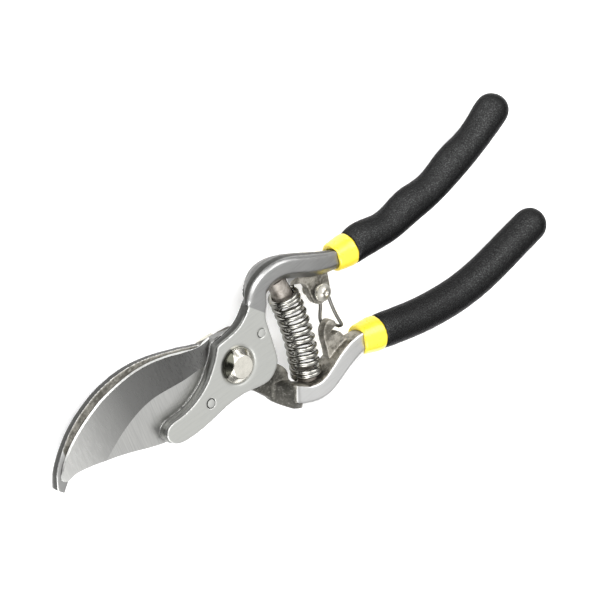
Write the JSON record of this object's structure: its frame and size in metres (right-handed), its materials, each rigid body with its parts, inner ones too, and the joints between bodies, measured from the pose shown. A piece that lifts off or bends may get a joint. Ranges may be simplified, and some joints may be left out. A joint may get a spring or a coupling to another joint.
{
  "type": "bypass pruner",
  "caption": "Forged bypass pruner with a riveted curved blade, hook, coil spring, wire latch and sleeved grips, shown shut.",
  "frame": {"origin": "centre of the pivot bolt's axis at the outer face of the pivot nut", "axes": "+Z along the pivot axis towards the bolt head, +X from the pivot towards the grips, +Y towards the handle that carries the blade"},
  "size_m": [0.222, 0.068, 0.0214],
  "materials": {
    "forged_steel": "satin polished faces, dark forged recesses",
    "blade_steel": "brushed, ground bevel",
    "rivet_steel": "ground flush",
    "nickel_plate": "bright nickel",
    "spring_steel": "plain",
    "dark_steel": "as forged",
    "wire_steel": "drawn wire",
    "yellow_vinyl": "glossy vinyl",
    "black_vinyl": "grained vinyl"
  },
  "bodies": {
    "hook_side": {"hook_handle": "forged_steel", "pivot_bolt": "nickel_plate", "pivot_nut": "nickel_plate", "lock_washer": "spring_steel", "lower_spring_seat": "dark_steel", "main_spring": "nickel_plate", "lower_collar": "yellow_vinyl", "lower_grip": "black_vinyl"},
    "blade_side": {"blade_handle": "forged_steel", "blade": "blade_steel", "upper_blade_rivet": "rivet_steel", "lower_blade_rivet": "rivet_steel", "upper_spring_seat": "dark_steel", "latch_rivet": "nickel_plate", "latch_washer": "nickel_plate", "upper_collar": "yellow_vinyl", "upper_grip": "black_vinyl"},
    "latch": {"latch_wire": "wire_steel"}
  },
  "joints": [
    {"name": "handle_pivot", "type": "hinge", "parent": "hook_side", "child": "blade_side", "pos_m": [0, 0, 0.0121], "axis": [0, 0, 1], "range_deg": [0, 28], "deforming": ["main_spring"]},
    {"name": "latch_swing", "type": "hinge", "parent": "blade_side", "child": "latch", "pos_m": [0.0429, 0.0023, 0.012], "axis": [0, 0, 1], "range_deg": [-10, 70]}
  ]
}
